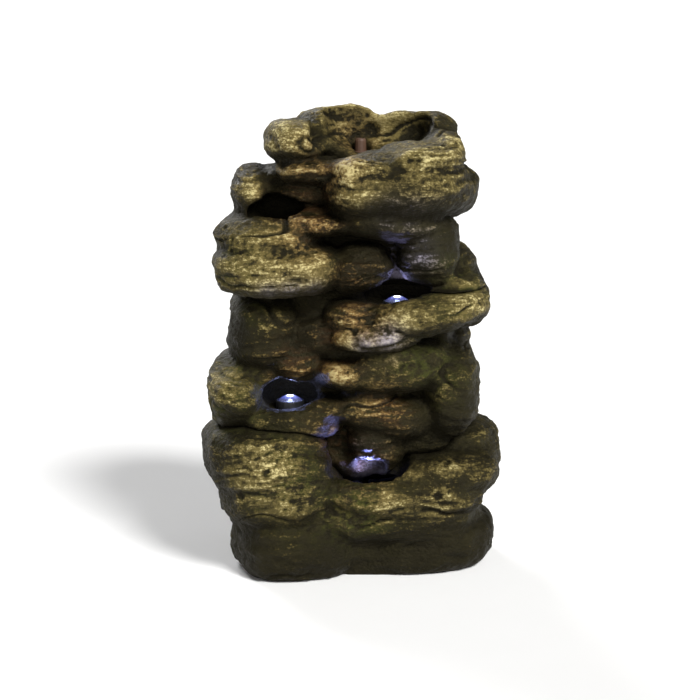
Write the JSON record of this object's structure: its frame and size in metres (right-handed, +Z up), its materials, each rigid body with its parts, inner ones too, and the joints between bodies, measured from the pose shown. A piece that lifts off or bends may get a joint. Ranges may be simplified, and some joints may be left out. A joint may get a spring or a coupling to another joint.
{
  "type": "tiered water fountain",
  "caption": "Free-standing rock-cascade water fountain with pools on stacked tiers, underwater lights, a hidden pump and a rear door.",
  "frame": {"origin": "on the flat underside of the base, under the middle of the fountain", "axes": "+Z up; +Y from the front to the back, where the door is; +X to the right seen from the front"},
  "size_m": [0.4223, 0.3094, 0.6398],
  "materials": {
    "cast_resin": "matt dark olive-brown cast resin rock, dry-brushed with cream, gold and moss green",
    "black_plastic": "satin moulded black plastic",
    "grey_plastic": "satin moulded grey plastic",
    "rubber": "matt black rubber and cable sheath",
    "steel": "bright spring steel",
    "ceramic": "polished ceramic",
    "vinyl_hose": "clear green-tinted soft vinyl",
    "clear_lens": "clear polycarbonate dome",
    "lamp": "white light-emitting diode on its board"
  },
  "bodies": {
    "fountain": {"base_basin": "cast_resin", "lower_cascade": "cast_resin", "upper_cascade": "cast_resin", "pump_body": "black_plastic", "pump_chamber": "grey_plastic", "pump_seal": "rubber", "impeller_shaft": "ceramic", "pump_foot_1": "rubber", "pump_foot_2": "rubber", "pump_foot_3": "rubber", "pump_foot_4": "rubber", "hose": "vinyl_hose", "hose_clamp": "steel", "spout": "black_plastic", "spout_nut": "grey_plastic", "light_housing_right": "black_plastic", "light_lens_right": "clear_lens", "light_seal_right": "rubber", "light_lamp_right": "lamp", "light_lead_right": "rubber", "light_housing_left": "black_plastic", "light_lens_left": "clear_lens", "light_seal_left": "rubber", "light_lamp_left": "lamp", "light_lead_left": "rubber", "light_housing_basin": "black_plastic", "light_lens_basin": "clear_lens", "light_seal_basin": "rubber", "light_lamp_basin": "lamp", "light_lead_basin": "rubber", "pump_lead": "rubber", "supply_lead": "rubber", "junction_box": "black_plastic", "cable_gland": "rubber"},
    "door": {"rear_door": "cast_resin", "door_screw_left": "black_plastic", "door_screw_right": "black_plastic"},
    "impeller": {"impeller": "grey_plastic"},
    "strainer": {"pump_strainer": "black_plastic"},
    "dial": {"flow_dial": "grey_plastic"}
  },
  "joints": [
    {"name": "door_pull", "type": "slide", "parent": "fountain", "child": "door", "axis": [0, 1, 0], "range_m": [0, 0.12]},
    {"name": "impeller_spin", "type": "hinge", "parent": "fountain", "child": "impeller", "pos_m": [0.016, 0.066, 0.053], "axis": [1, 0, 0], "continuous": true},
    {"name": "strainer_pull", "type": "slide", "parent": "fountain", "child": "strainer", "axis": [-1, 0, 0], "range_m": [0, 0.012]},
    {"name": "dial_turn", "type": "hinge", "parent": "strainer", "child": "dial", "pos_m": [-0.0283, 0.066, 0.053], "axis": [-1, 0, 0], "range_deg": [0, 90]}
  ]
}
